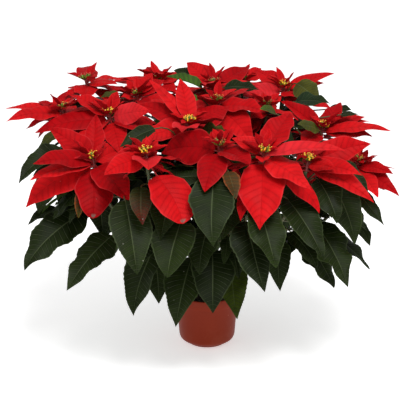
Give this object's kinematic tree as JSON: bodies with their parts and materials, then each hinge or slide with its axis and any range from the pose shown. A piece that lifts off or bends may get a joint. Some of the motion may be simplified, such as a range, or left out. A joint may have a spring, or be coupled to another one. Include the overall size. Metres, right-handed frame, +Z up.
{
  "type": "potted poinsettia plant",
  "caption": "Large bushy potted plant with red bract rosettes around small yellow-green flower clusters, green leaves, branching stems, a woody trunk and a plain terracotta-coloured pot.",
  "frame": {"origin": "middle of the pot's flat foot, where it stands", "axes": "+Z up through the pot's middle; -Y is the front, with the fullest flower heads"},
  "size_m": [0.7856, 0.691, 0.5497],
  "materials": {
    "pot": "terracotta-coloured moulded plastic, satin, with mineral specks",
    "soil": "dark crumbly peat",
    "trunk": "matte woody bark",
    "leaf": "dark green leaf, satin above and dull below, lighter veins",
    "bract": "velvety saturated red, darker veins",
    "cyathium": "yellow-green, satin, with red tips"
  },
  "bodies": {
    "root": {"pot": "pot", "soil": "soil", "trunk": "trunk", "stem_A": "leaf", "bracts_A": "bract", "cyathia_A": "cyathium", "stem_B": "leaf", "bracts_B": "bract", "cyathia_B": "cyathium", "stem_C": "leaf", "bracts_C": "bract", "cyathia_C": "cyathium", "stem_D": "leaf", "bracts_D": "bract", "cyathia_D": "cyathium", "stem_E": "leaf", "bracts_E": "bract", "cyathia_E": "cyathium", "stem_F": "leaf", "bracts_F": "bract", "cyathia_F": "cyathium", "stem_G": "leaf", "bracts_G": "bract", "cyathia_G": "cyathium", "stem_H": "leaf", "bracts_H": "bract", "cyathia_H": "cyathium", "stem_I": "leaf", "bracts_I": "bract", "cyathia_I": "cyathium", "stem_J": "leaf", "bracts_J": "bract", "cyathia_J": "cyathium", "stem_K": "leaf", "bracts_K": "bract", "cyathia_K": "cyathium", "stem_L": "leaf", "bracts_L": "bract", "cyathia_L": "cyathium", "stem_M": "leaf", "bracts_M": "bract", "cyathia_M": "cyathium", "stem_O": "leaf", "bracts_O": "bract", "cyathia_O": "cyathium", "stem_P": "leaf", "bracts_P": "bract", "cyathia_P": "cyathium", "stem_Q": "leaf", "bracts_Q": "bract", "cyathia_Q": "cyathium", "stem_S": "leaf", "bracts_S": "bract", "cyathia_S": "cyathium", "stem_T": "leaf", "bracts_T": "bract", "cyathia_T": "cyathium"}
  },
  "joints": []
}
